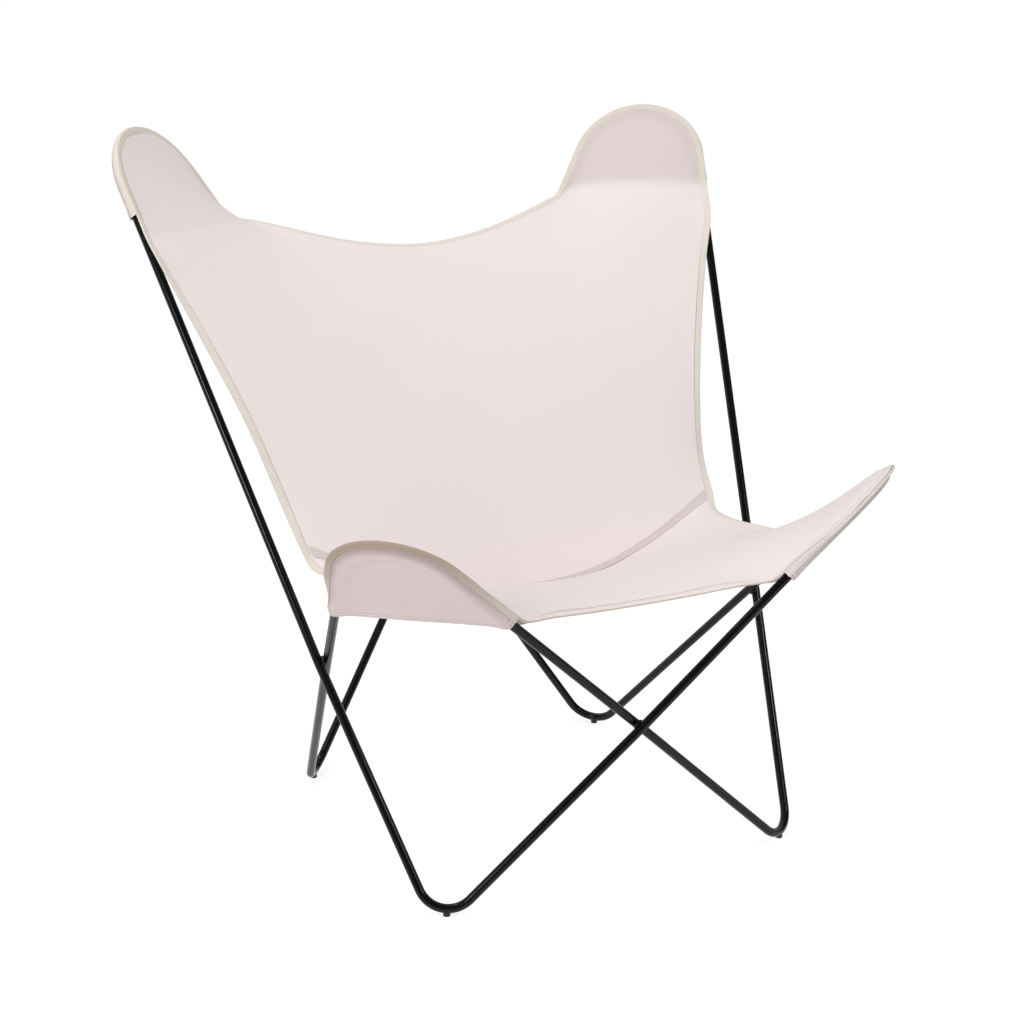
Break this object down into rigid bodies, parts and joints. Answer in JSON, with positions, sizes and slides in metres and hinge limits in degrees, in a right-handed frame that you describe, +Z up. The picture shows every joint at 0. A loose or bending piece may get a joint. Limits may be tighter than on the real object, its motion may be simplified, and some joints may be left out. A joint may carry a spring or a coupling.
{
  "type": "butterfly sling chair",
  "caption": "Lounge chair with a bent rod frame of crossing legs and a canvas sling that hangs from the frame's horns by corner pockets.",
  "frame": {"origin": "on the floor, under the middle of the bounding box", "axes": "+X to the right as seen from the front, +Y to the back of the chair, +Z up"},
  "size_m": [0.9178, 0.7872, 0.93],
  "materials": {
    "frame_paint": "gloss black powder coat on round steel rod",
    "glide_plastic": "black moulded plastic",
    "canvas": "plain woven off-white cotton canvas, matt",
    "edge_tape": "cream woven tape, sewn on with two rows of stitches"
  },
  "bodies": {
    "root": {"back_panel": "canvas", "binding_front": "edge_tape", "binding_left": "edge_tape", "binding_right": "edge_tape", "binding_top": "edge_tape", "cross_seam_tape": "edge_tape", "glide_back_left": "glide_plastic", "glide_back_right": "glide_plastic", "glide_front_left": "glide_plastic", "glide_front_right": "glide_plastic", "pocket_back_left": "canvas", "pocket_back_right": "canvas", "pocket_front_left": "canvas", "pocket_front_right": "canvas", "rod_loop_left": "frame_paint", "rod_loop_right": "frame_paint", "seat_panel": "canvas", "weld_back": "frame_paint", "weld_front": "frame_paint", "weld_left": "frame_paint", "weld_right": "frame_paint"}
  },
  "joints": []
}
